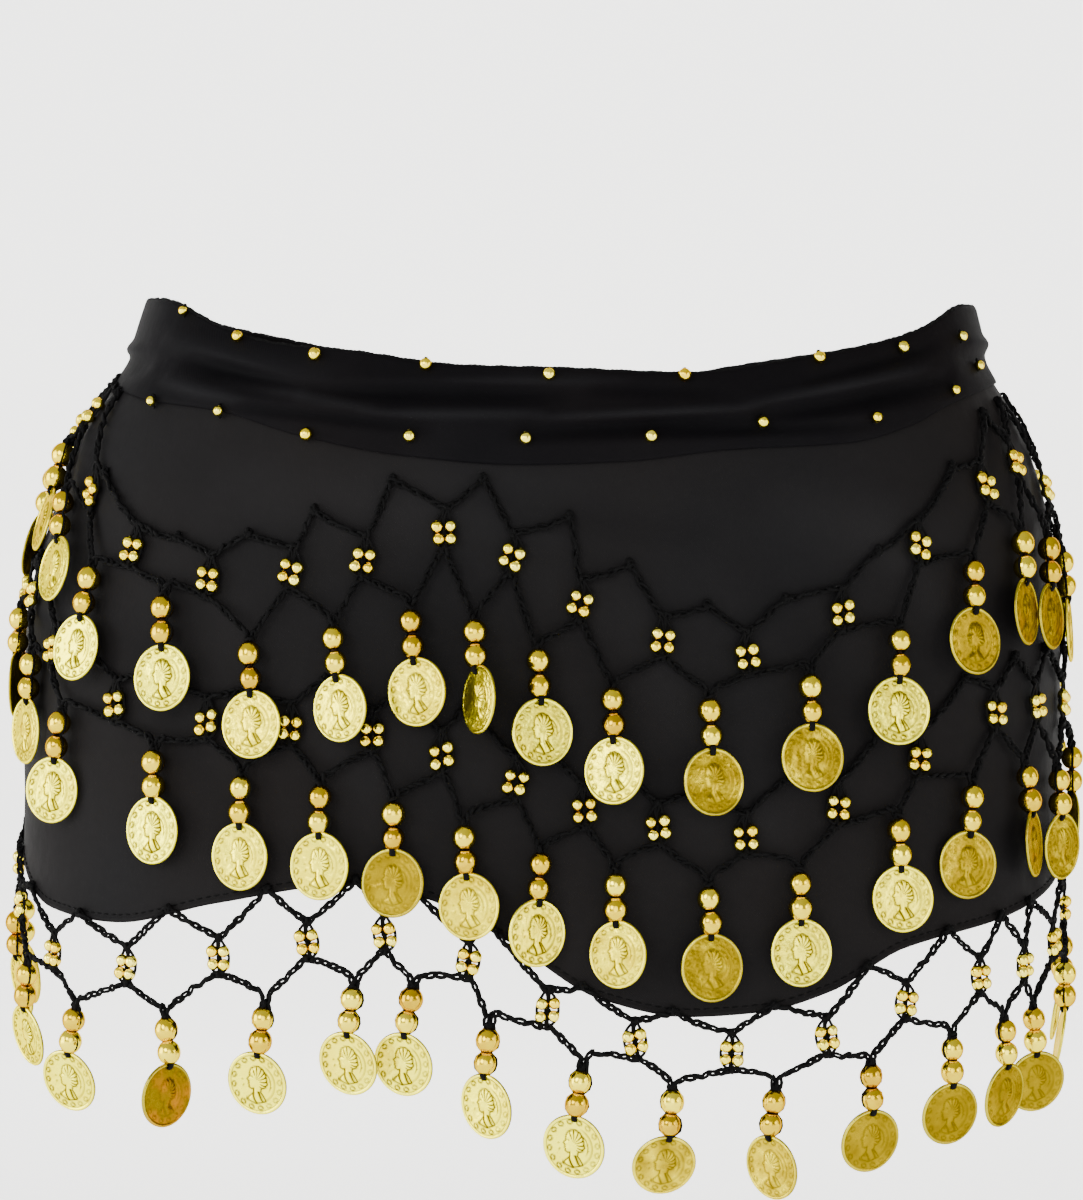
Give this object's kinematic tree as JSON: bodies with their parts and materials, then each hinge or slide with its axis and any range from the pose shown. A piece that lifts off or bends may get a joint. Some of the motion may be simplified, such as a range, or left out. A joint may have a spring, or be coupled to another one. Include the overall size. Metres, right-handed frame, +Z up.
{
  "type": "belly dance hip scarf",
  "caption": "Black chiffon scarf tied round the hips, with a doubled upper edge, three nets of crochet cord and beads, and rows of hanging gold coins, knotted at the back.",
  "frame": {"origin": "the middle of the wearer's hips at the level where they hold the scarf, between its two lines of single beads", "axes": "+Z up, the front faces -Y, and +X is to the right of whoever looks at the front"},
  "size_m": [0.3652, 0.2689, 0.2969],
  "materials": {
    "black_cloth": "black chiffon with a soft sheen",
    "black_band": "the same chiffon, folded double and darker",
    "gold_coins": "pale gold, stamped and polished"
  },
  "bodies": {
    "root": {"cloth_panel": "black_cloth", "tie_left": "black_cloth", "tie_right": "black_cloth", "knot": "black_cloth", "tail_left": "black_cloth", "tail_right": "black_cloth", "top_band": "black_band", "coin_net_upper": "gold_coins", "coin_net_middle": "gold_coins", "hem_net_left": "gold_coins", "hem_net_right": "gold_coins"}
  },
  "joints": []
}
